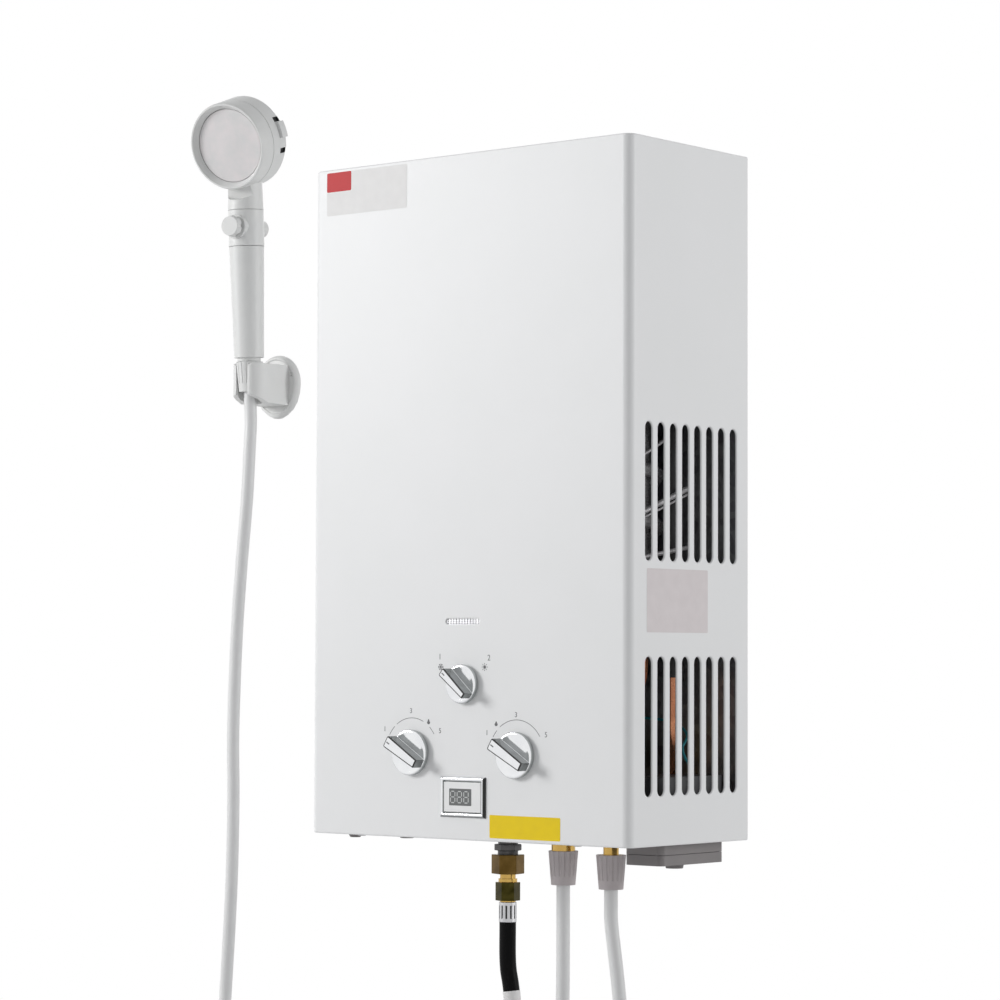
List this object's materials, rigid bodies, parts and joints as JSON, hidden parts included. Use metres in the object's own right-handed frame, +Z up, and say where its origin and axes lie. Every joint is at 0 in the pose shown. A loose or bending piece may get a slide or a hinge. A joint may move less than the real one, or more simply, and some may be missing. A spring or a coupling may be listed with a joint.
{
  "type": "portable gas water heater",
  "caption": "White wall-hung gas water heater with front knobs, a small display, a battery box, gas and water hoses, and a hand shower on its own wall holder.",
  "frame": {"origin": "on the wall plane, at the middle of the casing's bottom edge", "axes": "+X across the front towards the battery box, +Y into the wall, +Z up; the front faces -Y"},
  "size_m": [0.6394, 0.1841, 1.1539],
  "materials": {
    "white_enamel": "satin",
    "galvanised": "satin",
    "steel": "satin",
    "bright_chrome": "polished",
    "copper": "satin",
    "brass": "satin",
    "cast_alloy": "cast",
    "dark_zinc": "satin",
    "white_plastic": "gloss",
    "matt_white_plastic": "matte",
    "white_hose": "satin",
    "black_rubber": "satin",
    "grey_plastic": "matte",
    "dark_plastic": "matte",
    "battery_jacket": "satin",
    "ceramic": "gloss",
    "wire_jacket": "satin",
    "spray_face": "gloss"
  },
  "bodies": {
    "heater": {"rear_pan": "galvanised", "front_cover": "white_enamel", "top_deck": "white_enamel", "bottom_deck": "white_enamel", "case_screws": "steel", "sight_screen": "steel", "flue_hood": "galvanised", "fin_block": "copper", "exchanger_tubes": "copper", "combustion_chamber": "copper", "jacket_coil": "copper", "cold_pipe": "copper", "hot_pipe": "copper", "burner_frame": "galvanised", "burner_bars": "galvanised", "gas_manifold": "cast_alloy", "gas_valve_body": "cast_alloy", "solenoid_valve": "dark_zinc", "water_valve_body": "brass", "hot_outlet": "brass", "micro_switch": "dark_plastic", "igniter_box": "dark_plastic", "electrodes": "ceramic", "wiring": "wire_jacket", "display_frame": "bright_chrome", "display_module": "matt_white_plastic", "battery_box": "grey_plastic", "batteries": "battery_jacket", "blanking_plugs": "grey_plastic", "gas_adapter": "dark_zinc", "gas_union_nut": "brass", "gas_hose_tail": "brass", "gas_sleeve": "steel", "gas_hose": "black_rubber", "gas_hose_coil": "black_rubber", "regulator": "cast_alloy", "cone_nuts": "matt_white_plastic", "inlet_hose": "white_hose", "inlet_hose_coil": "white_hose", "tap_tail": "brass", "shower_hose": "white_hose", "shower_holder": "white_plastic", "shower_grip": "white_plastic", "shower_valve": "white_plastic", "shower_head": "white_plastic", "spray_plate": "spray_face"},
    "gas_knob": {"gas_knob": "bright_chrome", "gas_spindle": "steel"},
    "water_knob": {"water_knob": "bright_chrome", "water_spindle": "steel"},
    "season_knob": {"season_knob": "bright_chrome", "season_spindle": "steel"},
    "battery_lid": {"battery_lid": "grey_plastic"},
    "lid_knob": {"lid_knob": "grey_plastic"},
    "push_rod": {"push_rod": "steel"},
    "switch_arm": {"switch_arm": "steel"},
    "stop_button": {"stop_button": "white_plastic"},
    "mode_lever": {"mode_lever": "white_plastic"},
    "tap_nut": {"tap_nut": "grey_plastic"},
    "regulator_handwheel": {"regulator_handwheel": "dark_plastic"}
  },
  "joints": [
    {"name": "gas_knob_turn", "type": "hinge", "parent": "heater", "child": "gas_knob", "pos_m": [-0.0583, -0.168, 0.0735], "axis": [0, 1, 0], "range_deg": [0, 120]},
    {"name": "water_knob_turn", "type": "hinge", "parent": "heater", "child": "water_knob", "pos_m": [0.0583, -0.168, 0.0735], "axis": [0, 1, 0], "range_deg": [0, 120]},
    {"name": "season_knob_turn", "type": "hinge", "parent": "heater", "child": "season_knob", "pos_m": [0, -0.168, 0.133], "axis": [0, 1, 0], "range_deg": [0, 100]},
    {"name": "battery_lid_swing", "type": "hinge", "parent": "heater", "child": "battery_lid", "pos_m": [0.146, -0.021, -0.0123], "axis": [1, 0, 0], "range_deg": [0, 90]},
    {"name": "lid_knob_turn", "type": "hinge", "parent": "battery_lid", "child": "lid_knob", "pos_m": [0.146, -0.063, -0.018], "axis": [0, 0, 1], "range_deg": [0, 90]},
    {"name": "push_rod_slide", "type": "slide", "parent": "heater", "child": "push_rod", "axis": [-1, 0, 0], "range_m": [0, 0.003], "stiffness_N_per_m": 100},
    {"name": "switch_arm_swing", "type": "hinge", "parent": "heater", "child": "switch_arm", "pos_m": [-0.0088, -0.06, 0.086], "axis": [0, 1, 0], "range_deg": [0, 13]},
    {"name": "stop_button_slide", "type": "slide", "parent": "heater", "child": "stop_button", "axis": [-0.1562, 0.9863, 0.0523], "range_m": [0, 0.003]},
    {"name": "mode_lever_swing", "type": "hinge", "parent": "heater", "child": "mode_lever", "pos_m": [-0.3714, -0.08269, 0.64311], "axis": [0.1496, -0.9445, -0.2924], "range_deg": [-6, 6]},
    {"name": "tap_nut_turn", "type": "hinge", "parent": "heater", "child": "tap_nut", "pos_m": [0.088, -0.099, -0.33], "axis": [0, 0, 1], "continuous": true},
    {"name": "regulator_handwheel_turn", "type": "hinge", "parent": "heater", "child": "regulator_handwheel", "pos_m": [-0.032, -0.1074, -0.41], "axis": [0, 0, 1], "continuous": true}
  ],
  "couplings": [
    {"joint": "switch_arm_swing", "follows": "push_rod_slide", "rad_per_m": 69.8}
  ]
}
